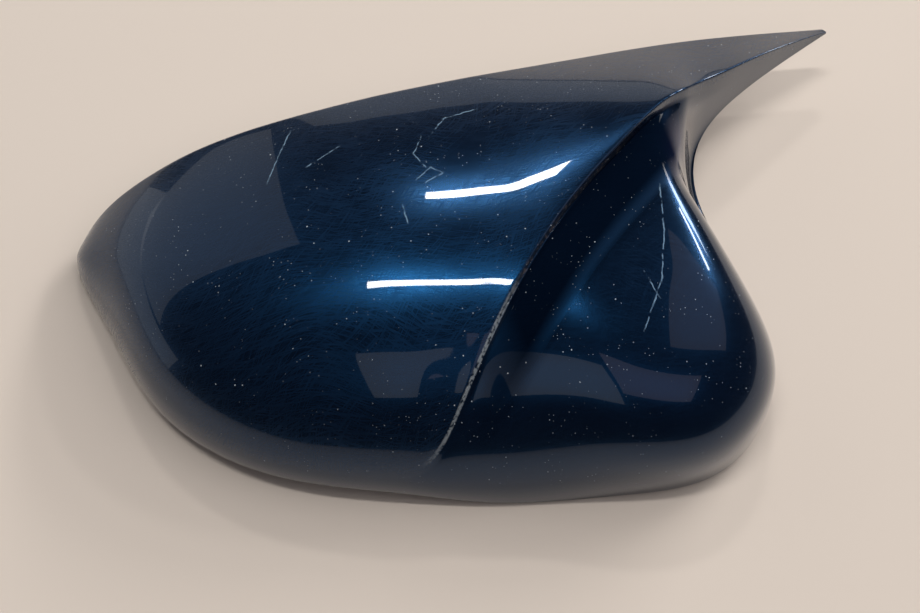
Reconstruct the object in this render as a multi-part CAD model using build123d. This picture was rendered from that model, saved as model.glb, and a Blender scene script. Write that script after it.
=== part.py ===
"""Wing mirror cover: one moulded ABS shell, lying hollow side down with the tip of its horn to +X."""
import os
from math import hypot, sqrt

from build123d import *

# Skin, in millimetres: the crown panel stands over the front panel by a step along the crease
WALL = 2.6
STEP_HEIGHT = 4.5
STEP_REACH = 20.0
GROOVE_DEPTH = 1.8
GROOVE_REACH = 5.0
RISER_WIDTH = 0.9
EDGE_RADIUS = 1.2
WALL_DRAFT = 1.5
NECK_BEND = 36.0
HOLLOW_OVERRUN = 2.0

# Snap hooks, tongues standing inside the rim with a barb towards the hollow
HOOK_WIDTH = 12.0
HOOK_THICKNESS = 2.2
HOOK_INSET = 7.0
HOOK_CLEARANCE = 3.0
BARB_REACH = 1.8
BARB_HEIGHT = 4.5
HOOKS_LOWER = [0.26, 0.5, 0.66]
HOOKS_UPPER = [0.3, 0.5]

# Locating fins between the side wall and the crown
FIN_THICKNESS = 1.8
FIN_REACH = 13.0
FIN_CLEARANCE = 9.0
FINS_LOWER = [0.18, 0.34, 0.43, 0.57]
FINS_UPPER = [0.2, 0.4, 0.58]

# Locating pegs hanging from the crown
PEG_RADIUS = 3.0
PEG_TIP_HEIGHT = 26.0
PEG_LEAD_IN = 1.0
PEG_ROOT_RADIUS = 5.0
PEG_ROOT_HEIGHT = 37.0
PEGS = [(-66, 14), (38, -12)]

# The rim, from the tip of the horn along the road side to the nose and back along the upper side
LOWER_RIM = [
    (125.2, 100.8, 22.6), (97.6, 83.4, 15), (79, 65, 6.5), (73.4, 50.5, 2), (78.2, 28, 0.8),
    (93.2, 1, 0.5), (97.6, -27, 0.3), (82, -48.6, 0.1), (50, -55, 0.2), (8, -57.6, 1.4),
    (-16, -56, 5.5), (-60, -50, 6.3), (-98.8, -25.8, 4.5), (-118.2, 5.4, 2),
]
NOSE = (-127.4, 26.6, 0.4)
UPPER_RIM = [
    (-118.7, 37.1, 0.1), (-107.3, 43.3, 0), (-88.7, 51.1, 0), (-64.5, 58.9, 0), (-35.8, 66.9, 0),
    (-3.7, 75.8, 3), (29.3, 85.1, 13), (59.8, 93.6, 20), (94.5, 100.6, 21), (124.1, 103.5, 21.6),
]

# Laws from nose to tip, as (share of the rim's length, value)
CREASE_SHARE = [
    (0, 0.02), (0.34, 0.02), (0.365, 0.03), (0.4, 0.172), (0.45, 0.351), (0.5, 0.488), (0.55, 0.591),
    (0.6, 0.645), (0.66, 0.658), (0.72, 0.62), (0.77, 0.539), (0.81, 0.383), (0.85, 0.207),
    (0.9, 0.069), (0.95, 0.04), (1, 0.1),
]
CROWN_HEIGHT = [
    (0, 0.6), (0.02, 11), (0.05, 18), (0.1, 27.5), (0.2, 41), (0.3, 48.5), (0.4, 52.5), (0.5, 52),
    (0.6, 50), (0.7, 47.5), (0.8, 43.5), (0.9, 36), (0.95, 30.5), (1, 23.6),
]
EDGE_HEIGHT = [
    (0, 0.5), (0.02, 9.6), (0.05, 16), (0.1, 23.5), (0.2, 32.5), (0.3, 36), (0.4, 37), (0.5, 35.5),
    (0.6, 32.5), (0.7, 29), (0.8, 26), (0.9, 23.8), (1, 23.2),
]
APEX = 0.523
STATIONS = [
    0.006, 0.02, 0.045, 0.08, 0.12, 0.17, 0.22, 0.27, 0.315, 0.345, 0.365, 0.38, 0.4, 0.43, 0.47, 0.51,
    0.55, 0.59, 0.63, 0.665, 0.7, 0.73, 0.76, 0.79, 0.815, 0.84, 0.865, 0.89, 0.92, 0.95, 0.975, 0.994,
]
FRONT_SHARES = [0, 0.08, 0.17, 0.27, 0.37, 0.47, 0.57, 0.67, 0.76, 0.84, 0.9, 0.95, 0.98, 1]
BASE_SHARES = [0, 0.06, 0.14, 0.25, 0.4, 0.55]
CROWN_SHARES = [0, 0.02, 0.06, 0.12, 0.2, 0.3, 0.4, 0.5, 0.6, 0.68, 0.76, 0.83, 0.89, 0.95, 1]


def mix(a, b, share):
    return a + (b - a) * share


def ramp(t, start, end):
    """Smooth rise from 0 at start to 1 at end."""
    u = min(max((t - start) / (end - start), 0), 1)
    return u**3 * (10 - 15 * u + 6 * u * u)


def law(pairs, t):
    """Value at t of a smooth curve through pairs that does not overshoot them."""
    slopes = [(b[1] - a[1]) / (b[0] - a[0]) for a, b in zip(pairs, pairs[1:])]
    tangents = [slopes[0]]
    for before, after in zip(slopes, slopes[1:]):
        tangents.append(2 * before * after / (before + after) if before * after > 0 else 0)
    tangents.append(slopes[-1])
    k = max(i for i in range(len(slopes)) if i == 0 or pairs[i][0] <= t)
    span = pairs[k + 1][0] - pairs[k][0]
    u = (t - pairs[k][0]) / span
    start = pairs[k][1] * (1 + 2 * u) + span * tangents[k] * u
    end = pairs[k + 1][1] * (3 - 2 * u) + span * tangents[k + 1] * (u - 1)
    return start * (1 - u) ** 2 + end * u * u


def nose_law(pairs, t):
    """The law of pairs in the root of t, which rises round the nose like a dome."""
    return law([(sqrt(a), b) for a, b in pairs], sqrt(t))


rim = Edge.make_spline([Vector(*p) for p in LOWER_RIM + [NOSE] + UPPER_RIM])
nose = rim.param_at_point(Vector(*NOSE))


def lower(t):
    """Place on the whole rim of a share t of its lower side, counted from the nose."""
    return nose * (1 - t)


def upper(t):
    return nose + (1 - nose) * t


def inward(u):
    """Level direction from the rim into the hollow."""
    along = rim.tangent_at(u)
    return Vector(along.Y, -along.X, 0).normalized()


class Section:
    """Upright cut through the skin between equal shares t of both sides of the rim, moved in by inset.

    It is straight in plan, except that at the neck below the horn it bends to leave the rim squarely.

    The front panel rises from the lower rim to the crease, the crown panel goes on over the apex to the
    far edge, and the back wall drops from there to the upper rim.
    """

    def __init__(self, t, inset=0, sink=0):
        self.inset = inset
        self.low = rim.position_at(lower(t)) + inward(lower(t)) * inset - Vector(0, 0, sink)
        self.up = rim.position_at(upper(t)) + inward(upper(t)) * inset
        across = Vector(self.low.X - self.up.X, self.low.Y - self.up.Y, 0).normalized()
        edge = self.up + across * min(WALL_DRAFT, 60 * t)
        self.far = Vector(edge.X, edge.Y, nose_law(EDGE_HEIGHT, t) - inset)
        self.aside = Vector(across.Y, -across.X, 0)
        self.bend = NECK_BEND * ramp(t, 0.56, 0.74) * (1 - ramp(t, 0.78, 0.92))
        self.width = hypot(self.far.X - self.low.X, self.far.Y - self.low.Y)
        self.crease = law(CREASE_SHARE, t)
        self.foot = self.crease - min(RISER_WIDTH / self.width, self.crease / 5)
        self.apex = mix(max(APEX, self.crease), self.crease, ramp(t, 0.5, 0.62))
        self.top = nose_law(CROWN_HEIGHT, t) - inset
        side = ramp(t, 0.42, 0.58)
        cove = ramp(t, 0.61, 0.75)
        self.front_powers = (mix(mix(2.0, 2.3, side), 1.0, cove), mix(mix(2.1, 4.2, side), 0.8, cove))
        self.crown_powers = (mix(2.0, 1.03, ramp(t, 0.48, 0.78)), 1)
        step = STEP_HEIGHT * ramp(t, 0.34, 0.7) ** 0.8 * (1 - ramp(t, 0.68, 0.95))
        groove = GROOVE_DEPTH * ramp(t, 0.36, 0.42) * (1 - ramp(t, 0.5, 0.6))
        self.drop = max(step, groove)
        self.reach = mix(mix(GROOVE_REACH, STEP_REACH, ramp(t, 0.45, 0.67)), GROOVE_REACH, ramp(t, 0.74, 0.9))

    def place(self, f, z):
        """Point at height z over a share f of the way from the lower rim to the far edge."""
        shift = self.aside * (self.bend * f * (1 - f) ** 2)
        return Vector(mix(self.low.X, self.far.X, f) + shift.X, mix(self.low.Y, self.far.Y, f) + shift.Y, z)

    def height(self, f):
        """Height at a share f of the way from the lower rim to the far edge, falling away from the apex."""
        if f < self.apex:
            base, w = self.low.Z, (self.apex - f) / self.apex
            p, q = self.front_powers
        else:
            base, w = self.far.Z, (f - self.apex) / (1 - self.apex)
            p, q = self.crown_powers
        return base + (self.top - base) * max(1 - min(w, 1) ** p, 0) ** (1 / q)

    def point(self, f, front):
        run = (self.crease - f) * self.width
        z = self.height(f)
        if front:
            z -= self.drop * max(1 - run / self.reach, 0) ** 2
        elif self.inset:
            z -= self.drop * max(1 + run / (2.5 * self.drop + 1), 0) ** 2
        return self.place(f, z)

    def spread(self, front, short=0):
        """Points along the front or the crown panel, at the same shares of its length in every section."""
        trial = [k / 80 for k in range(81)]
        if front:
            shares = [self.foot * k**2 for k in trial]
        else:
            shares = [mix(self.crease, 1, k) for k in trial]
        points = [self.point(f, front) for f in shares]
        run = [0]
        for a, b in zip(points, points[1:]):
            run.append(run[-1] + (b - a).length)
        result = []
        for share in FRONT_SHARES if front else CROWN_SHARES:
            place = share * (run[-1] - short)
            k = max(i for i in range(80) if i == 0 or run[i] <= place)
            part = (place - run[k]) / (run[k + 1] - run[k])
            result.append(self.point(mix(shares[k], shares[k + 1], part), front))
        return result

    def edges(self, short=0):
        """Front panel, riser and crown panel, which may stop short of the far edge."""
        front = self.spread(True)
        crown = self.spread(False, short)
        return [
            Edge.make_spline(front, parameters=FRONT_SHARES),
            Edge.make_line(front[-1], crown[0]),
            Edge.make_spline(crown, parameters=CROWN_SHARES),
        ]


def outer_wire(t):
    """Outer skin, closed below by a path that stays about level with each rim near it."""
    section = Section(t)
    edges = section.edges(EDGE_RADIUS)
    last = edges[-1] @ 1
    first = section.far + (section.up - section.far).normalized() * EDGE_RADIUS
    middle = section.far + (last + first - section.far * 2) * 0.27
    corner = Edge.make_spline([last, middle, first], parameters=[0, 0.5, 1])
    low, up = section.low, section.up
    floor = [edges[0] @ 0] + [section.place(f, mix(low.Z, up.Z, 0.22 * f)) for f in BASE_SHARES[1:]]
    base = Edge.make_spline(floor[::-1], parameters=[1 - f / BASE_SHARES[-1] for f in BASE_SHARES[::-1]])
    path = [first, up, section.place(0.7, mix(up.Z, low.Z, 0.05)), floor[-1]]
    return Wire(edges + [corner] + [Edge.make_line(a, b) for a, b in zip(path, path[1:])] + [base])


def hollow_wire(t):
    """The hollow runs on below the rim, starts a wall behind the nose and leaves the horn's tip solid."""
    t += 0.016 * (1 - ramp(t, 0, 0.08)) - 0.055 * ramp(t, 0.85, 1)
    section = Section(t, WALL, HOLLOW_OVERRUN)
    edges = section.edges()
    below = [Vector(c.X, c.Y, -10) for c in (section.up, section.low)]
    path = [edges[-1] @ 1, below[0], below[1], edges[0] @ 0]
    return Wire(edges + [Edge.make_line(a, b) for a, b in zip(path, path[1:])])


def seat(u, depth):
    """Place inside the rim at floor level, its x axis pointing into the hollow."""
    p = rim.position_at(u) + inward(u) * depth
    return Plane(origin=(p.X, p.Y, 0), x_dir=inward(u), z_dir=(0, 0, 1))


def hook(u):
    tongue = Box(HOOK_THICKNESS, HOOK_WIDTH, 60, align=(Align.MIN, Align.CENTER, Align.MIN))
    nib = HOOK_THICKNESS + BARB_REACH
    profile = Polyline((0, 0), (HOOK_THICKNESS, 0), (nib, BARB_HEIGHT), (0, BARB_HEIGHT), close=True)
    barb = extrude(Plane.XZ * make_face(profile), HOOK_WIDTH / 2, both=True)
    return seat(u, HOOK_INSET) * Pos(0, 0, HOOK_CLEARANCE) * (tongue + barb)


def fin(u):
    plate = Box(FIN_REACH, FIN_THICKNESS, 60, align=(Align.MIN, Align.CENTER, Align.MIN))
    return seat(u, WALL / 2) * Pos(0, 0, FIN_CLEARANCE) * plate


def peg(x, y):
    upright = (Align.CENTER, Align.CENTER, Align.MIN)
    pin = Cylinder(PEG_RADIUS, 60, align=upright)
    pin = chamfer(pin.edges().sort_by(Axis.Z)[0], PEG_LEAD_IN)
    root = Pos(0, 0, PEG_ROOT_HEIGHT - PEG_TIP_HEIGHT) * Cylinder(PEG_ROOT_RADIUS, 30, align=upright)
    return Pos(x, y, PEG_TIP_HEIGHT) * (pin + root)


outer = Solid.make_loft([outer_wire(t) for t in STATIONS])
hollow = Solid.make_loft([hollow_wire(t) for t in STATIONS])
shell = outer - hollow

hooks = [hook(lower(t)) for t in HOOKS_LOWER] + [hook(upper(t)) for t in HOOKS_UPPER]
fins = [fin(lower(t)) for t in FINS_LOWER] + [fin(upper(t)) for t in FINS_UPPER]
pegs = [peg(x, y) for x, y in PEGS]
cover = shell.fuse(*[f & outer for f in hooks + fins + pegs])

box = cover.bounding_box()
cover = Pos(-box.center().X, -box.center().Y, -box.min.Z) * cover

os.makedirs("parts", exist_ok=True)
export_step(cover, "parts/mirror_cover.step")
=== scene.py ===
import math

import bpy
import numpy as np
from mathutils import Matrix, Vector


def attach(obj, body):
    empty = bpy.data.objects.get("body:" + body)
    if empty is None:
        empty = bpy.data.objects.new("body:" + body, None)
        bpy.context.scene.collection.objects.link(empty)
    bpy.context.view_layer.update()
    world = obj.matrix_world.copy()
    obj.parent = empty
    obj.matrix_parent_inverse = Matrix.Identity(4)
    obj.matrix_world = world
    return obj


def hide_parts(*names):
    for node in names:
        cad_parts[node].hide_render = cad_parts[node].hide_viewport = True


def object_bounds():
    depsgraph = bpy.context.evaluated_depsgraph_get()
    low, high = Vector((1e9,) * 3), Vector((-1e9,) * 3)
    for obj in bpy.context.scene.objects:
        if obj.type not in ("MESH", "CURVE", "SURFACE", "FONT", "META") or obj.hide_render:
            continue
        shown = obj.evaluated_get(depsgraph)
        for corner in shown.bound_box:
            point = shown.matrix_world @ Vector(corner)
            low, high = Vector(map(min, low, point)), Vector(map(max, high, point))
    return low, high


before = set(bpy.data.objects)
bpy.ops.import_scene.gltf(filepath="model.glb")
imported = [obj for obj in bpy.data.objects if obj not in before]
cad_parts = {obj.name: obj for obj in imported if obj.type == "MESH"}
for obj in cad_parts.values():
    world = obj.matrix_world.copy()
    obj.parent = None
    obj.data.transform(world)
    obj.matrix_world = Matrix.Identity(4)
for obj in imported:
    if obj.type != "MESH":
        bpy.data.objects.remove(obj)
cad_low, cad_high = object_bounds()

# Shell: the cover is one injection-moulded ABS skin, a dome drawn out to a flat horn.
# Its crown panel stands over the front panel along a crease, which ends as the horn's blade.
# It lies hollow side down, the rim resting on the floor at the lower right and the far left.

# Lengths are in millimetres, and shares run along the rim from 0 at the nose to 1 at the horn's tip
MM = 0.001
WALL = 2.6
LOWER_RIM = [
    (125.2, 100.8, 22.6), (97.6, 83.4, 15), (80, 64.5, 6.5), (80.2, 50.4, 2), (90, 28, 0.8),
    (98.9, 1, 0.5), (99.4, -25.5, 0.3), (82.6, -48.2, 0.1), (50, -55, 0.2), (8, -57.6, 1.4),
    (-16, -56, 5.5), (-60, -50, 6.3), (-98.8, -25.8, 4.5), (-118.2, 5.4, 2),
]
NOSE = (-127.4, 26.6, 0.4)
UPPER_RIM = [
    (-118.7, 37.1, 0.1), (-107.3, 43.3, 0), (-88.7, 51.1, 0), (-64.5, 58.9, 0), (-35.8, 66.9, 0),
    (-3.7, 75.8, 3), (29.3, 85.1, 13), (59.8, 93.6, 20), (94.5, 100.6, 21), (124.1, 103.5, 21.6),
]
CROWN_HEIGHT = [
    (0, 0.6), (0.02, 11), (0.05, 18), (0.1, 27.5), (0.2, 41), (0.3, 48.5), (0.4, 52.5), (0.5, 52),
    (0.6, 50), (0.7, 47.5), (0.8, 43.5), (0.9, 36), (0.95, 30.5), (1, 23.6),
]
EDGE_HEIGHT = [
    (0, 0.5), (0.02, 9.6), (0.05, 16), (0.1, 23.5), (0.2, 32.5), (0.3, 36), (0.4, 37), (0.5, 35.5),
    (0.6, 32.5), (0.7, 29), (0.8, 26), (0.9, 23.8), (1, 23.2),
]
DRAFT = 1.5
DRAFT_RISE = 60

# The crease: how far across the section it lies, and the step or groove that the front panel has under it
CREASE_ACROSS = [
    (0, 0.02), (0.34, 0.02), (0.365, 0.03), (0.4, 0.167), (0.45, 0.346), (0.5, 0.483), (0.55, 0.586),
    (0.6, 0.645), (0.66, 0.668), (0.72, 0.65), (0.77, 0.584), (0.81, 0.463), (0.85, 0.267), (0.9, 0.061),
    (0.95, 0.05), (1, 0.1),
]
RISER_WIDTH = 0.9
RISER_MOST = 0.2
STEP_HEIGHT = 4.5
STEP_RISE = 0.34, 0.7
STEP_FALL = 0.68, 0.95
STEP_EASE = 0.8
STEP_REACH = 20.0
STEP_WIDENS = 0.45, 0.67
STEP_NARROWS = 0.74, 0.9
GROOVE_DEPTH = 1.8
GROOVE_RISE = 0.36, 0.42
GROOVE_FALL = 0.5, 0.6
GROOVE_REACH = 5.0
HOLLOW_STEP_SLOPE = 2.5
HOLLOW_STEP_LEAST = 1

# The section's highest point, which moves to the crease, and the bow and fullness of the curves to either
# side of it, for the front panel in the dome, at the side wall and in the cove below the horn
APEX = 0.523
APEX_TO_CREASE = 0.5, 0.62
SIDE_WALL = 0.42, 0.58
COVE = 0.61, 0.75
FRONT_BOW = 2.0, 2.3, 1.0
FRONT_FULLNESS = 2.1, 4.2, 0.8
CROWN_BOW = 2.0, 1.03
CROWN_FLATTENS = 0.48, 0.78

# The neck below the horn, bent sideways and flared along its rim
NECK_BEND = 36.0
NECK_RISE = 0.56, 0.74
NECK_FALL = 0.78, 0.92
FLARE_WIDTH = [(0, 6), (0.7, 7), (0.76, 11), (0.81, 17), (1, 18)]
FLARE_MOST = 0.85
FLARE_BOW = 1.4
FLARE_RISE = 0.68, 0.78
FLARE_FALL = 0.86, 0.94
FLARE_SHARES = 0.5, 0.96
FLARE_SAMPLES = 340

# Points along a panel to measure its length by, and the most of it that the close points at one end take
TRIAL_POINTS = 241
MARGIN_MOST = 0.2


def mix(a, b, share):
    return a + (b - a) * share


def ramp(t, start, end):
    """Smooth rise from 0 at start to 1 at end."""
    u = np.clip((t - start) / (end - start), 0, 1)
    return u**3 * (10 - 15 * u + 6 * u * u)


def hump(t, rise, fall):
    """Smooth rise from 0 to 1 over the range rise, and back to 0 over the range fall."""
    return ramp(t, *rise) * (1 - ramp(t, *fall))


def law(pairs, t):
    """Values at t of a smooth curve through pairs that does not overshoot them."""
    x, y = np.array(pairs, float).T
    slope = np.diff(y) / np.diff(x)
    before, after = slope[:-1], slope[1:]
    turn = before * after > 0
    inner = np.where(turn, 2 * before * after / np.where(turn, before + after, 1), 0)
    tangent = np.concatenate([slope[:1], inner, slope[-1:]])
    k = np.clip(np.searchsorted(x, t, side="right") - 1, 0, len(slope) - 1)
    span = x[k + 1] - x[k]
    u = (t - x[k]) / span
    start = y[k] * (1 + 2 * u) + span * tangent[k] * u
    end = y[k + 1] * (3 - 2 * u) + span * tangent[k + 1] * (u - 1)
    return start * (1 - u) ** 2 + end * u * u


def bent_line(points):
    """A smooth line through points, as a function of its place from 0 to 1, and the points' own places."""
    points = np.array(points, float)
    steps = np.linalg.norm(np.diff(points, axis=0), axis=1)
    run = np.concatenate([[0], np.cumsum(steps)])
    rows = np.eye(len(points))
    pull = np.zeros_like(points)
    slope = np.diff(points, axis=0) / steps[:, None]
    for i in range(1, len(points) - 1):
        rows[i, i - 1:i + 2] = steps[i - 1], 2 * (steps[i - 1] + steps[i]), steps[i]
        pull[i] = 6 * (slope[i] - slope[i - 1])
    bend = np.linalg.solve(rows, pull)

    def at(place):
        u = np.asarray(place) * run[-1]
        k = np.clip(np.searchsorted(run, u, side="right") - 1, 0, len(steps) - 1)
        step = steps[k][:, None]
        ahead = (run[k + 1] - u)[:, None]
        back = (u - run[k])[:, None]
        curve = (bend[k] * ahead**3 + bend[k + 1] * back**3) / (6 * step)
        from_last = (points[k] / step - bend[k] * step / 6) * ahead
        from_next = (points[k + 1] / step - bend[k + 1] * step / 6) * back
        return curve + from_last + from_next

    return at, run / run[-1]


rim_at, rim_places = bent_line(LOWER_RIM + [NOSE] + UPPER_RIM)
nose_place = rim_places[len(LOWER_RIM)]


def lower_place(t):
    """Place on the whole rim of a share of the lower rim."""
    return nose_place * (1 - t)


def upper_place(t):
    """Place on the whole rim of a share of the upper rim."""
    return nose_place + (1 - nose_place) * t


def rim_point(place, inset):
    """Points of the rim, moved level into the hollow by inset."""
    near = 1e-4
    ahead = rim_at(np.clip(place + near, 0, 1)) - rim_at(np.clip(place - near, 0, 1))
    inward = np.stack([ahead[:, 1], -ahead[:, 0]], 1)
    inward /= np.linalg.norm(inward, axis=1)[:, None]
    point = rim_at(place)
    point[:, :2] += inward * inset
    return point


def nose_law(pairs, t):
    """The law of pairs in the root of t, which rises round the nose like a dome."""
    return law([(math.sqrt(a), b) for a, b in pairs], np.sqrt(t))


def panels(t, inset=0.0, lift=1.0):
    """Upright sections at shares t of the rim, of the outside or, with an inset, of the hollow.

    Gives a function for points along the front or the crown panel, the far edge and the upper rim.
    """
    low = rim_point(lower_place(t), inset)
    up = rim_point(upper_place(t), inset)
    far = rim_point(upper_place(t), inset + np.minimum(DRAFT, DRAFT_RISE * t)[:, None])
    far[:, 2] = mix(up[:, 2], nose_law(EDGE_HEIGHT, t) - inset, lift)
    top = mix(low[:, 2], nose_law(CROWN_HEIGHT, t) - inset, lift)
    width = np.hypot(*(far - low)[:, :2].T)
    aside = np.stack([low[:, 1] - up[:, 1], up[:, 0] - low[:, 0]], 1)
    aside /= np.maximum(np.hypot(*aside.T), 1e-6)[:, None]
    bend = NECK_BEND * hump(t, NECK_RISE, NECK_FALL)
    crease = law(CREASE_ACROSS, t)
    foot = crease - np.minimum(RISER_WIDTH / np.maximum(width, 1e-6), crease * RISER_MOST)
    apex = mix(np.maximum(APEX, crease), crease, ramp(t, *APEX_TO_CREASE))

    def along_front(dome, side, cove):
        return mix(mix(dome, side, ramp(t, *SIDE_WALL)), cove, ramp(t, *COVE))

    bows = along_front(*FRONT_BOW), mix(*CROWN_BOW, ramp(t, *CROWN_FLATTENS))
    fullness = along_front(*FRONT_FULLNESS), np.ones_like(t)
    step = STEP_HEIGHT * ramp(t, *STEP_RISE) ** STEP_EASE * (1 - ramp(t, *STEP_FALL))
    groove = GROOVE_DEPTH * hump(t, GROOVE_RISE, GROOVE_FALL)
    drop = np.maximum(step, groove)
    reach = mix(GROOVE_REACH, STEP_REACH, ramp(t, *STEP_WIDENS))
    reach = mix(reach, GROOVE_REACH, ramp(t, *STEP_NARROWS))
    hollow_reach = HOLLOW_STEP_SLOPE * drop + HOLLOW_STEP_LEAST

    def point(share, front):
        across = share.T
        before = across < apex
        off = np.where(before, (apex - across) / apex, (across - apex) / (1 - apex))
        base = np.where(before, low[:, 2], far[:, 2])
        curve = np.maximum(1 - np.clip(off, 0, 1) ** np.where(before, *bows), 0)
        z = base + (top - base) * curve ** (1 / np.where(before, *fullness))
        run = (crease - across) * width
        if front:
            z = z - lift * drop * np.maximum(1 - run / reach, 0) ** 2
        elif inset:
            z = z - lift * drop * np.maximum(1 + run / hollow_reach, 0) ** 2
        plan = low[:, :2, None] + (far - low)[:, :2, None] * share[:, None, :]
        plan += aside[:, :, None] * (bend[:, None] * share * (1 - share) ** 2)[:, None, :]
        return np.concatenate([plan, z.T[:, None, :]], 1).transpose(0, 2, 1)

    def spread(front, places):
        """Points at places, shares of the length along the panel."""
        trial_share = np.linspace(0, 1, TRIAL_POINTS)[None, :]
        share = foot[:, None] * trial_share**2 if front else mix(crease[:, None], 1, trial_share)
        trial = point(share, front)
        steps = np.linalg.norm(np.diff(trial, axis=1), axis=2)
        run = np.concatenate([np.zeros((len(t), 1)), np.cumsum(steps, 1)], 1)
        places = places(run[:, -1])
        wanted = [np.interp(s * r[-1], r, f) for s, r, f in zip(places, run, share)]
        return point(np.array(wanted), front)

    return spread, far, up


def flared(rows, inset):
    """The rows of a front panel, drawn down to a hollow flare along the rim below the horn."""
    t = np.linspace(*FLARE_SHARES, FLARE_SAMPLES)
    edge = rim_point(lower_place(t), inset)
    for row in rows:
        gaps = np.linalg.norm(row[:, None, :2] - edge[None, :, :2], axis=2)
        nearest = gaps.argmin(1)
        gaps = gaps.min(1)
        foot = edge[nearest, 2]
        width = np.minimum(law(FLARE_WIDTH, t[nearest]), FLARE_MOST * max(gaps[-1], 1e-6))
        rise = np.clip(gaps / width, 0, 1) ** FLARE_BOW
        row[:, 2] = foot + (row[:, 2] - foot) * mix(1, rise, hump(t[nearest], FLARE_RISE, FLARE_FALL))
    return rows


def close_at_ends(count, margin, near):
    """Shares along a panel: near points in the margin at either end, the others evenly between."""
    def places(length):
        edge = np.minimum(margin / np.maximum(length, 1e-6), MARGIN_MOST)[:, None]
        first = np.linspace(0, 1, near, endpoint=False)[None, :] * edge
        middle = mix(edge, 1 - edge, np.linspace(0, 1, count - 2 * near)[None, :])
        return np.concatenate([first, middle, 1 - first[:, ::-1]], 1)
    return places


def line_between(a, b, count, ease=1.0):
    """Points strictly between two rows of points, closer together at the first with more ease."""
    k = np.linspace(0, 1, count + 2)[1:-1] ** ease
    return a[:, None, :] + (b - a)[:, None, :] * k[None, :, None]


# The skin as closed rings from the nose to the horn: front panel, riser, crown, side wall, rim, hollow, rim
RINGS = 300
NOSE_EASE = 0.12
FRONT_POINTS = 66
RISER_POINTS = 14
CROWN_POINTS = 104
WALL_POINTS = 20
WALL_EASE = 1.8
RIM_POINTS = 4
INNER_POINTS = 28
PANEL_MARGIN = 2.5
CROWN_MARGIN = 3.5
CLOSE_POINTS = 9
INNER_CLOSE_POINTS = 3
FAIRING = 40
ROUNDING = 6
SHELL_SMOOTH_ANGLE = math.radians(40)

# How far the hollow keeps behind the nose and the horn's tip, in shares, and where it flattens out to the rim
NOSE_SOLID = 0.016
NOSE_SOLID_END = 0.08
HORN_SOLID = 0.055
HORN_SOLID_START = 0.85
HOLLOW_OPENS = 0, 0.03
HOLLOW_CLOSES = 0.94, 1

even = np.linspace(0, 1, RINGS)
along = np.where(even < NOSE_EASE, even**2 / (2 * NOSE_EASE), even - NOSE_EASE / 2) / (1 - NOSE_EASE / 2)
outer, far_edge, upper_rim = panels(along)
front = flared(outer(True, close_at_ends(FRONT_POINTS, PANEL_MARGIN, CLOSE_POINTS)), 0)
crown = outer(False, close_at_ends(CROWN_POINTS, CROWN_MARGIN, CLOSE_POINTS))
behind = along + NOSE_SOLID * (1 - ramp(along, 0, NOSE_SOLID_END))
behind -= HORN_SOLID * ramp(along, HORN_SOLID_START, 1)
inner, inner_edge, inner_rim = panels(behind, WALL, hump(along, HOLLOW_OPENS, HOLLOW_CLOSES))
inner_places = close_at_ends(INNER_POINTS, PANEL_MARGIN, INNER_CLOSE_POINTS)
inner_front = flared(inner(True, inner_places), WALL)
inner_crown = inner(False, inner_places)
riser = line_between(front[:, -1], crown[:, 0], RISER_POINTS)
wall = line_between(far_edge, upper_rim, WALL_POINTS, WALL_EASE)
inner_wall = line_between(inner_rim, inner_edge, WALL_POINTS // 2)
under = np.concatenate([inner_rim[:, None], inner_wall, inner_crown[:, ::-1], inner_front[:, ::-1]], 1)
upper_lip = line_between(upper_rim, inner_rim, RIM_POINTS)
lower_lip = line_between(inner_front[:, 0], front[:, 0], RIM_POINTS)
rings = np.concatenate([front, riser, crown, wall, upper_rim[:, None], upper_lip, under, lower_lip], 1)

# The rings evened out along the cover, and the edges rounded by evening out each ring
for _ in range(FAIRING):
    rings[1:-1] = 0.25 * rings[:-2] + 0.5 * rings[1:-1] + 0.25 * rings[2:]
for _ in range(ROUNDING):
    rings = 0.25 * np.roll(rings, 1, 1) + 0.5 * rings + 0.25 * np.roll(rings, -1, 1)
rings = np.concatenate([rings, rings[:, :1]], 1)
form_low, form_high = rings.min((0, 1)), rings.max((0, 1))
form_scale = (np.array(cad_high) - np.array(cad_low)) / (form_high - form_low)


def in_frame(points):
    """Points of the form above, brought to the CAD model's box, in metres."""
    return np.array(cad_low) + (points - form_low) * form_scale


bpy.ops.object.select_all(action="DESELECT")
bpy.ops.mesh.primitive_grid_add(x_subdivisions=rings.shape[1] - 1, y_subdivisions=RINGS - 1, size=1)
cover = bpy.context.object
cover.name = "mirror_shell"
cover.data.vertices.foreach_set("co", in_frame(rings).ravel())

# Each point keeps its way round the ring from the crease and its share along the rim, for the paint
steps = np.linalg.norm(np.diff(rings, axis=1), axis=2)
run = np.concatenate([np.zeros((RINGS, 1)), np.cumsum(steps, 1)], 1)
from_crease = run - run[:, FRONT_POINTS + RISER_POINTS // 2][:, None]
along_rim = np.repeat(along[:, None], rings.shape[1], 1)
for name, values in (("from_crease", from_crease), ("along_rim", along_rim)):
    cover.data.attributes.new(name, "FLOAT", "POINT").data.foreach_set("value", values.ravel())
inside_start = FRONT_POINTS + RISER_POINTS + CROWN_POINTS + WALL_POINTS + 1 + RIM_POINTS
inside = np.arange(rings.shape[1] - 1) >= inside_start
inside[-RIM_POINTS:] = False
cover.data.polygons.foreach_set("material_index", np.tile(inside, RINGS - 1).astype(int))
bpy.ops.object.mode_set(mode="EDIT")
bpy.ops.mesh.select_all(action="SELECT")
bpy.ops.mesh.remove_doubles(threshold=1e-6)
bpy.ops.mesh.fill_holes(sides=0)
bpy.ops.mesh.select_all(action="SELECT")
bpy.ops.mesh.normals_make_consistent(inside=False)
bpy.ops.object.mode_set(mode="OBJECT")
bpy.ops.object.shade_smooth_by_angle(angle=SHELL_SMOOTH_ANGLE)


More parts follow.
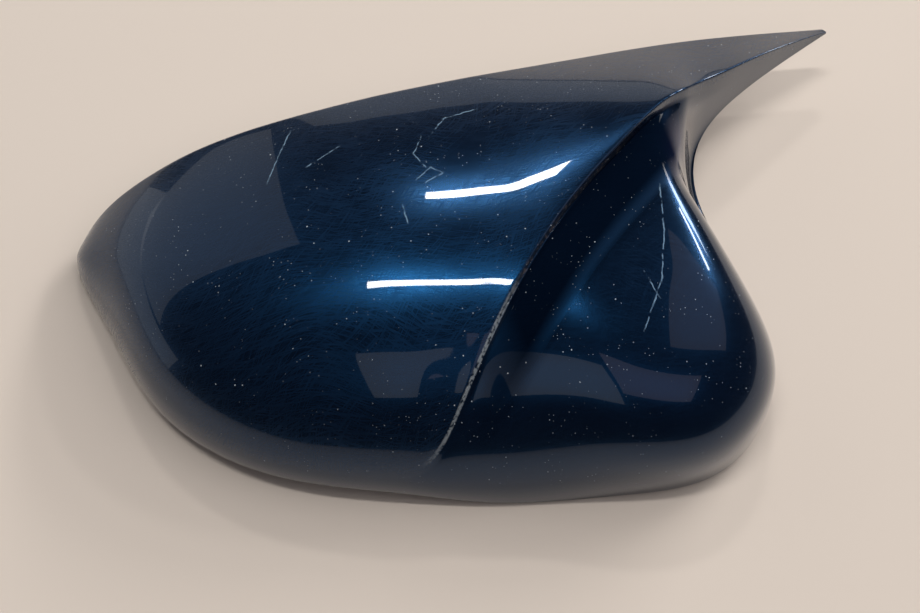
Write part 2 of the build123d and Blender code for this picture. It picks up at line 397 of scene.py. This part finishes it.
def node(tree, kind, inputs=None, **settings):
    """A new node with its settings, each input set to a value or linked to another node's output."""
    made = tree.nodes.new(kind)
    for name, value in settings.items():
        setattr(made, name, value)
    for name, value in (inputs or {}).items():
        if isinstance(value, bpy.types.NodeSocket):
            tree.links.new(value, made.inputs[name])
        else:
            made.inputs[name].default_value = value
    return made


def clouds(tree, place, scale, detail, output="Fac"):
    """Soft random spots, about as many to the metre as the scale, as a value or as a colour."""
    spots = node(tree, "ShaderNodeTexNoise", {"Vector": place, "Scale": scale, "Detail": detail})
    return spots.outputs[output]


def between(tree, value, start, end, low=0.0, high=1.0):
    """The value carried from the range start to end over to the range low to high, and held there."""
    return node(tree, "ShaderNodeMapRange", {
        "Value": value, "From Min": start, "From Max": end, "To Min": low, "To Max": high}).outputs[0]


def valued(tree, mask, none, full):
    """A mask made a value: none where it is 0 and full where it is 1."""
    return between(tree, mask, 0, 1, none, full)


def both(tree, a, b, operation="MULTIPLY"):
    """Two masks joined: where both are, or with MAXIMUM where either is."""
    return node(tree, "ShaderNodeMath", {0: a, 1: b}, operation=operation).outputs[0]


def any_of(tree, masks):
    """The largest of several masks."""
    largest = masks[0]
    for mask in masks[1:]:
        largest = both(tree, largest, mask, "MAXIMUM")
    return largest


def tinted(tree, mask, under, over):
    """One colour laid over another where the mask is 1."""
    return node(tree, "ShaderNodeMix", {0: mask, 6: under, 7: over}, data_type="RGBA").outputs[2]


# Paint: gloss black with a blue cast, under a clear coat
PAINT_BLACK = (0.0005, 0.0018, 0.006, 1)
WIPED_BLACK = (0.002, 0.006, 0.016, 1)
GROOVE_BLACK = (0.004, 0.004, 0.005, 1)
GRIT_BROWN = (0.05, 0.04, 0.036, 1)
SCUFF_GREY = (0.2, 0.215, 0.22, 1)
SCRATCH_GREY = (0.13, 0.19, 0.24, 1)
DUST_GREY = (0.45, 0.48, 0.5, 1)
GLOSS_BLUE = (0.05, 0.38, 1.0, 1)
paint = bpy.data.materials.new("gloss_black_paint")
paint.use_nodes = True
tree = paint.node_tree
place_of = node(tree, "ShaderNodeTexCoord").outputs["Object"]
gap = node(tree, "ShaderNodeAttribute", attribute_name="from_crease").outputs["Fac"]
share = node(tree, "ShaderNodeAttribute", attribute_name="along_rim").outputs["Fac"]

# Fine hairlines from wiping, in four directions, denser in some patches and fainter on the front panel
HAIRLINE_TURNS_AND_SEEDS = [(-7, 0.0), (4, 3.0), (16, 7.0), (58, 11.0)]
HAIRLINE_SIZE = (10 * MM, 0.32 * MM, 10 * MM)
HAIRLINE_DRIFT = (0.035, 0.035, 0.035)
HAIRLINE_EDGE = 0.48, 0.66
PATCH_EDGE = 0.3, 0.5
PATCH_STRENGTH = 0.25, 1
FRONT_PANEL_EDGE = -2, 0
FRONT_PANEL_STRENGTH = 0.4, 1
bent = node(tree, "ShaderNodeVectorMath", {
    0: clouds(tree, place_of, 16.0, 1.0, "Color"), 1: HAIRLINE_DRIFT, 2: place_of}, operation="MULTIPLY_ADD")
directions = []
for turn, seed in HAIRLINE_TURNS_AND_SEEDS:
    turned = node(tree, "ShaderNodeMapping", {
        "Vector": bent.outputs[0], "Location": (seed, seed, 0), "Rotation": (0, 0, math.radians(turn)),
        "Scale": HAIRLINE_SIZE}, vector_type="TEXTURE")
    directions.append(between(tree, clouds(tree, turned.outputs[0], 1.0, 2.0), *HAIRLINE_EDGE))
patches = between(tree, clouds(tree, place_of, 30.0, 3.0), *PATCH_EDGE, *PATCH_STRENGTH)
hairlines = both(tree, any_of(tree, directions), patches)
hairlines = both(tree, hairlines, between(tree, gap, *FRONT_PANEL_EDGE, *FRONT_PANEL_STRENGTH))

# Dust of two sizes, each speck in one cell of a loose pattern, thicker in some places: cells to the metre,
# the speck's reach in its cell, and the range of the clouds over which the dust gets thicker
DUST_SIZES = [(380.0, 0.1, 0.38, 0.58), (900.0, 0.16, 0.5, 0.66)]
DUST_CHOSEN = 0.55, 0.7
DUST_CELLS_IN_CLOUD = 9
specks_of_sizes = []
for cell_count, speck, thin, thick in DUST_SIZES:
    cells = node(tree, "ShaderNodeTexVoronoi", {"Vector": place_of, "Scale": cell_count})
    chosen = node(tree, "ShaderNodeSeparateColor", {"Color": cells.outputs["Color"]}).outputs[0]
    strewn = between(tree, clouds(tree, place_of, cell_count / DUST_CELLS_IN_CLOUD, 2.0), thin, thick)
    strewn = both(tree, between(tree, chosen, *DUST_CHOSEN), strewn)
    specks = between(tree, cells.outputs["Distance"], speck, speck / 2)
    specks_of_sizes.append(both(tree, specks, strewn))
dust = any_of(tree, specks_of_sizes)

# Single scratches, each a thin broken line from one point to another in the plan, in millimetres
SCRATCHES = [
    ((-53, 29), (-58, 10)), ((-37, 21), (-46, 14)), ((6, 36), (-4, 32)), ((-4, 32), (-8, 24.5)),
    ((-11, 24), (-13, 17)), ((-13, 17), (-9.5, 11.5)), ((-12, 6.5), (-8, 11)), ((-8, 11), (-4, 9)),
    ((-4, 9), (-9, 5.5)), ((-16, -3), (-14.5, -9)), ((56, -24), (60, -31.5)), ((61, -26), (55.5, -41)),
    ((62, 5), (62.5, -10)), ((62.5, -10), (61, -26)),
]
SCRATCH_WIDTH = 0.36
SCRATCH_WANDER = 1.1
SCRATCH_EDGE = 0.6, 0.45
BREAK_EDGE = 0.36, 0.54
wander = node(tree, "ShaderNodeVectorMath", {
    0: clouds(tree, place_of, 300.0, 2.0, "Color"), 1: (SCRATCH_WANDER * MM, SCRATCH_WANDER * MM, 0),
    2: place_of}, operation="MULTIPLY_ADD")
wander = node(tree, "ShaderNodeVectorMath", {
    0: wander.outputs[0], 1: (SCRATCH_WANDER / 2 * MM, SCRATCH_WANDER / 2 * MM, 0)}, operation="SUBTRACT")
lines = []
for start, end in SCRATCHES:
    start, end = np.array(start) * MM, np.array(end) * MM
    middle, way = (start + end) / 2, end - start
    turned = node(tree, "ShaderNodeMapping", {
        "Vector": wander.outputs[0], "Location": (*middle, 0), "Rotation": (0, 0, math.atan2(way[1], way[0])),
        "Scale": (np.hypot(*way), SCRATCH_WIDTH * MM, 1)}, vector_type="TEXTURE")
    away = node(tree, "ShaderNodeVectorMath", {0: turned.outputs[0]}, operation="ABSOLUTE")
    away = node(tree, "ShaderNodeSeparateXYZ", {0: away.outputs[0]})
    away = both(tree, away.outputs[0], away.outputs[1], "MAXIMUM")
    lines.append(between(tree, away, *SCRATCH_EDGE))
breaks = between(tree, clouds(tree, place_of, 420.0, 2.0), *BREAK_EDGE)
scratches = both(tree, any_of(tree, lines), breaks)

# The crease: a dull dark groove with grit in it, scuffed pale along its lower half
DULL_WIDTH = 1.35, 0.7
DULL_START = 0.36, 0.385
DULL_END = 0.68, 0.6
GRIT_EDGE = 0.52, 0.66
SCUFF_END = 0.475, 0.44
SCUFF_EDGE = 0.36, 0.52
grains = clouds(tree, place_of, 900.0, 3.0)
width = node(tree, "ShaderNodeMath", {0: gap}, operation="ABSOLUTE").outputs[0]
groove = both(tree, between(tree, width, *DULL_WIDTH), between(tree, share, *DULL_START))
groove = both(tree, groove, between(tree, share, *DULL_END))
grit = both(tree, groove, between(tree, grains, *GRIT_EDGE))
scuff = both(tree, groove, between(tree, share, *SCUFF_END))
scuff = both(tree, scuff, between(tree, grains, *SCUFF_EDGE))

# A strip of the front panel beside the crease, where the clear coat is dulled
STRIP_FAR_EDGE = -25, -16
STRIP_NEAR_EDGE = -0.5, -1.5
STRIP_START = 0.4, 0.46
STRIP_END = 0.78, 0.7
strip = both(tree, between(tree, gap, *STRIP_FAR_EDGE), between(tree, gap, *STRIP_NEAR_EDGE))
strip_length = both(tree, between(tree, share, *STRIP_START), between(tree, share, *STRIP_END))
strip = both(tree, strip, strip_length)

# All of it together: the coat is missing where the paint is bare, and the hairlines make it less smooth
GLOSS_ROUGHNESS = 0.2
HAIRLINE_ROUGHNESS = 0.36
BARE_ROUGHNESS = 0.7
STRIP_ROUGHNESS = 0.85
STRIP_METALLIC = 0.8
colour = tinted(tree, hairlines, PAINT_BLACK, WIPED_BLACK)
for mask, over in ((groove, GROOVE_BLACK), (grit, GRIT_BROWN), (scuff, SCUFF_GREY),
                   (scratches, SCRATCH_GREY), (dust, DUST_GREY)):
    colour = tinted(tree, mask, colour, over)
bare = any_of(tree, [groove, dust, scratches])
shine = both(tree, valued(tree, bare, 1, 0), valued(tree, strip, 1, 0))
roughness = any_of(tree, [
    valued(tree, bare, 0, BARE_ROUGHNESS), valued(tree, strip, 0, STRIP_ROUGHNESS),
    valued(tree, hairlines, GLOSS_ROUGHNESS, HAIRLINE_ROUGHNESS)])
waves = clouds(tree, place_of, 42.0, 1.0)
ripple = node(tree, "ShaderNodeBump", {"Strength": 0.35, "Distance": 0.4 * MM, "Height": waves})
skin = tree.nodes["Principled BSDF"]
tree.links.new(colour, skin.inputs["Base Color"])
tree.links.new(shine, skin.inputs["Coat Weight"])
tree.links.new(valued(tree, strip, 0, STRIP_METALLIC), skin.inputs["Metallic"])
tree.links.new(roughness, skin.inputs["Roughness"])
tree.links.new(ripple.outputs[0], skin.inputs["Normal"])
tree.links.new(ripple.outputs[0], skin.inputs["Coat Normal"])
skin.inputs["Specular IOR Level"].default_value = 0.6
skin.inputs["Specular Tint"].default_value = GLOSS_BLUE
skin.inputs["Coat Roughness"].default_value = 0.02
skin.inputs["Coat IOR"].default_value = 1.33

# The unpainted inside: satin black plastic with a fine mould grain and cloudy flow marks
SATIN_DARK = (0.008, 0.008, 0.009, 1)
SATIN_PALE = (0.016, 0.016, 0.017, 1)
FLOW_EDGE = 0.3, 0.7
SATIN_ROUGHNESS = 0.42, 0.58
satin = bpy.data.materials.new("satin_black_inside")
satin.use_nodes = True
tree = satin.node_tree
place_of = node(tree, "ShaderNodeTexCoord").outputs["Object"]
flow = clouds(tree, place_of, 30.0, 4.0)
grain = clouds(tree, place_of, 1400.0, 2.0)
moulded = node(tree, "ShaderNodeBump", {"Strength": 0.25, "Distance": 0.05 * MM, "Height": grain})
plastic = tree.nodes["Principled BSDF"]
tree.links.new(tinted(tree, flow, SATIN_DARK, SATIN_PALE), plastic.inputs["Base Color"])
tree.links.new(between(tree, flow, *FLOW_EDGE, *SATIN_ROUGHNESS), plastic.inputs["Roughness"])
tree.links.new(moulded.outputs[0], plastic.inputs["Normal"])
cover.data.materials.append(paint)
cover.data.materials.append(satin)

# Clips, fins and pegs: moulded on the hidden inside in one shot with the skin, of the same ABS.
# Barbed clips snap over the housing's edge, thin fins stiffen the wall, and two pegs set the cover's place.
CLIP_WIDTH = 12.0
CLIP_THICKNESS = 2.2
CLIP_FOOT = 3.0
CLIP_INSET = 7.0
CLIPS_LOWER = [0.26, 0.5, 0.66]
CLIPS_UPPER = [0.3, 0.5]
BARB_REACH = 1.8
BARB_HEIGHT = 4.5
BARB_INSET = 0.1
BARB_LIFT = 0.05
FIN_THICKNESS = 1.8
FIN_REACH = 13.0
FIN_FOOT = 9.0
FINS_LOWER = [0.18, 0.34, 0.43, 0.57]
FINS_UPPER = [0.2, 0.4, 0.58]
PEG_RADIUS = 3.0
PEG_TIP = 26.0
PEG_LEAD_IN = 1.0
PEG_SIDES = 40
PEG_PLACES = [(-66, 14), (38, -12)]
PEG_SMOOTH_ANGLE = math.radians(30)
FACING_DOWN = -0.9
ROOT_RADIUS = 5.0
ROOT_FOOT = 37.0
START_HEIGHT = 10.0
BLOCK_CUTS = 5
BITE = 1.2
SLIDE = 0.25


def seats_along_rim(lower, upper, inset):
    """Seats of x, y and heading at shares of the lower and the upper rim, headed into the hollow."""
    places = np.array([lower_place(t) for t in lower] + [upper_place(t) for t in upper])
    seats = []
    for outside, inside in zip(rim_point(places, 0), rim_point(places, inset)):
        heading = math.degrees(math.atan2(inside[1] - outside[1], inside[0] - outside[0]))
        x, y, _ = in_frame(inside) / MM
        seats.append((x, y, heading))
    return seats


def upright_block(name, reach, thick, foot, height):
    """A subdivided block standing at height foot, its first side at the origin and its reach along x."""
    bpy.ops.object.select_all(action="DESELECT")
    bpy.ops.mesh.primitive_cube_add(size=MM)
    bpy.ops.transform.resize(value=(reach, thick, height))
    bpy.ops.transform.translate(value=(reach / 2 * MM, 0, (foot + height / 2) * MM))
    bpy.ops.object.transform_apply(location=True, rotation=True, scale=True)
    bpy.ops.object.mode_set(mode="EDIT")
    bpy.ops.mesh.subdivide(number_cuts=BLOCK_CUTS)
    bpy.ops.object.mode_set(mode="OBJECT")
    block = bpy.context.object
    block.name = name
    return block


def upright_pin(name, radius, foot, lead_in):
    """A round pin standing at height foot, its lower edge cut off by lead_in."""
    bpy.ops.object.select_all(action="DESELECT")
    bpy.ops.mesh.primitive_cylinder_add(
        vertices=PEG_SIDES, radius=radius * MM, depth=START_HEIGHT * MM,
        location=(0, 0, (foot + START_HEIGHT / 2) * MM))
    bpy.ops.object.transform_apply(location=True, rotation=True, scale=True)
    pin = bpy.context.object
    pin.name = name
    if lead_in:
        for face in pin.data.polygons:
            face.select = face.normal.z < FACING_DOWN
        bpy.ops.object.mode_set(mode="EDIT")
        bpy.ops.mesh.select_mode(type="FACE")
        bpy.ops.mesh.bevel(offset=lead_in * MM, segments=1)
        bpy.ops.object.mode_set(mode="OBJECT")
    bpy.ops.object.shade_smooth_by_angle(angle=PEG_SMOOTH_ANGLE)
    return pin


def under_skin(point):
    """Height of the skin over a point of the hollow, a little way into the wall, or None outside."""
    met, place, normal, _ = cover.ray_cast(point, (0, 0, 1))
    return place.z + (BITE if normal.z < 0 else -BITE) * MM if met else None


def copied_into_place(piece, seats, kept=0.0):
    """Copies of a piece at seats of x, y and heading, grown above their kept height into the skin.

    Where the first side would stand outside the cover it slides inwards, and the far side stays.
    """
    corners = [corner.co.copy() for corner in piece.data.vertices]
    start, end = min(c.x for c in corners), max(c.x for c in corners)
    base, head = min(c.z for c in corners) + kept * MM, max(c.z for c in corners)
    first = [c for c in corners if c.x < start + 1e-6]
    copies = []
    for x, y, heading in seats:
        seat = Matrix.Translation((x * MM, y * MM, 0)) @ Matrix.Rotation(math.radians(heading), 4, "Z")
        shift = 0.0
        while any(under_skin(seat @ Vector((c.x + shift, c.y, base))) is None for c in first):
            shift += SLIDE * MM
        copy = piece.copy()
        copy.data = piece.data.copy()
        bpy.context.scene.collection.objects.link(copy)
        for corner, c in zip(copy.data.vertices, corners):
            corner.co = seat @ Vector((end - (end - c.x) * (1 - shift / (end - start)), c.y, c.z))
            if c.z > base:
                top = under_skin((corner.co.x, corner.co.y, base))
                corner.co.z = base + (c.z - base) / (head - base) * (top - base)
        copy.data.materials.append(satin)
        copies.append(copy)
    bpy.data.objects.remove(piece)
    return copies


clip_seats = seats_along_rim(CLIPS_LOWER, CLIPS_UPPER, CLIP_INSET)
fin_seats = seats_along_rim(FINS_LOWER, FINS_UPPER, WALL / 2)
peg_seats = [(*in_frame(np.array((x, y, 0)))[:2] / MM, 0) for x, y in PEG_PLACES]
clip = upright_block("clip", CLIP_THICKNESS, CLIP_WIDTH, CLIP_FOOT, START_HEIGHT)
barb_reach = CLIP_THICKNESS + BARB_REACH
barb_foot = CLIP_FOOT + BARB_LIFT
barb = upright_block("barb", barb_reach, CLIP_WIDTH - 2 * BARB_INSET, barb_foot, BARB_HEIGHT)
for corner in barb.data.vertices:
    rise = (corner.co.z / MM - barb_foot) / BARB_HEIGHT
    corner.co.x = BARB_INSET * MM + corner.co.x * (CLIP_THICKNESS + BARB_REACH * rise) / barb_reach
fin = upright_block("fin", FIN_REACH, FIN_THICKNESS, FIN_FOOT, START_HEIGHT)
peg = upright_pin("peg", PEG_RADIUS, PEG_TIP, PEG_LEAD_IN)
root = upright_pin("peg_root", ROOT_RADIUS, ROOT_FOOT, 0)
inside_pieces = copied_into_place(clip, clip_seats) + copied_into_place(barb, clip_seats, BARB_HEIGHT)
inside_pieces += copied_into_place(fin, fin_seats)
inside_pieces += copied_into_place(peg, peg_seats, PEG_LEAD_IN) + copied_into_place(root, peg_seats)
bpy.ops.object.select_all(action="DESELECT")
for piece in inside_pieces + [cover]:
    piece.select_set(True)
bpy.context.view_layer.objects.active = cover
bpy.ops.object.join()
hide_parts("mirror_cover")
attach(cover, "root")

# Floor: a plain pale surface under the cover, wide enough to fill the view.
FLOOR_SIZE = 8.0
FLOOR_COLOUR = (0.62, 0.535, 0.458, 1)
FLOOR_ROUGHNESS = 0.9
bpy.ops.object.select_all(action="DESELECT")
bpy.ops.mesh.primitive_plane_add(size=FLOOR_SIZE)
floor = bpy.context.object
floor.name = "floor"
pale = bpy.data.materials.new("pale_floor")
pale.use_nodes = True
pale.node_tree.nodes["Principled BSDF"].inputs["Base Color"].default_value = FLOOR_COLOUR
pale.node_tree.nodes["Principled BSDF"].inputs["Roughness"].default_value = FLOOR_ROUGHNESS
floor.data.materials.append(pale)

# Light: plain soft studio light, three tubes overhead and dim panels round about, in metres and watts.
DIM_BLUE = (0.55, 0.65, 0.8, 1)
DIM_STRENGTH = 0.08
LEFT_PANEL_TURN = math.radians(17)
world = bpy.data.worlds.new("studio")
bpy.context.scene.world = world
world.use_nodes = True
world.node_tree.nodes["Background"].inputs["Color"].default_value = DIM_BLUE
world.node_tree.nodes["Background"].inputs["Strength"].default_value = DIM_STRENGTH


def soft_lamp(name, at, aim, size, power, colour=(1, 1, 1)):
    """A flat rectangular lamp at a place, turned to a point."""
    data = bpy.data.lights.new(name, "AREA")
    data.shape = "RECTANGLE"
    data.size, data.size_y = size
    data.energy = power
    data.color = colour
    lamp = bpy.data.objects.new(name, data)
    lamp.location = at
    lamp.rotation_euler = (Vector(aim) - Vector(at)).to_track_quat("-Z", "Y").to_euler()
    bpy.context.scene.collection.objects.link(lamp)
    return lamp


soft_lamp("tube_far", (0.02, 1.5, 1.7), (0, 0, 0), (0.24, 0.1), 6)
soft_lamp("tube_overhead", (-0.2, 0.165, 1.7), (-0.2, 0.165, 0), (0.62, 0.08), 9)
soft_lamp("tube_right", (1.75, 1.25, 1.7), (0, 0, 0), (0.5, 0.12), 8)
soft_lamp("panel_right", (2.2, 2.7, 1.7), (2.2, 2.7, 0), (0.7, 2.2), 120)
left = soft_lamp("panel_left", (-4.28, 3.5, 1.7), (-4.28, 3.5, 0), (5, 7), 62)
left.rotation_euler = (0, 0, LEFT_PANEL_TURN)
soft_lamp("wall_left", (-6.5, 2.0, 0.85), (0, 2.0, 0.85), (9, 1.7), 30)
soft_lamp("panel_front", (-0.25, -1.4, 1.7), (-0.25, -1.4, 0), (0.6, 1.2), 1.8)
soft_lamp("panel_beside", (0.75, -1.0, 1.7), (0.75, -1.0, 0), (1.3, 0.9), 2.6, (1, 0.85, 0.95))
soft_lamp("panel_side", (1.4, 0.38, 1.7), (1.4, 0.38, 0), (1.1, 0.95), 2, (1, 0.9, 0.95))
soft_lamp("panel_behind", (0.2, 4.0, 0.55), (0.2, 0, 0.55), (3.0, 1.0), 5)

# A wide lamp for the floor and the soft shadow, which the gloss does not show
sky = soft_lamp("soft_sky", (1.7, 0.6, 2.1), (0, 0, 0), (3, 3), 44)
sky.visible_glossy = False

# Camera: looks down on the cover from the side that faces the viewer.
LENS = 60
SENSOR = 36
LIFT = math.radians(66)
DISTANCE = 0.48
AIM = (0, 0, 22)
aim = Vector(in_frame(np.array(AIM)))
camera_data = bpy.data.cameras.new("camera")
camera_data.lens = LENS
camera_data.sensor_width = SENSOR
camera = bpy.data.objects.new("camera", camera_data)
towards = Vector((0, math.cos(LIFT), -math.sin(LIFT)))
camera.location = aim - towards * DISTANCE
camera.rotation_euler = towards.to_track_quat("-Z", "Y").to_euler()
bpy.context.scene.collection.objects.link(camera)
bpy.context.scene.camera = camera
bpy.context.scene.view_settings.view_transform = "Standard"
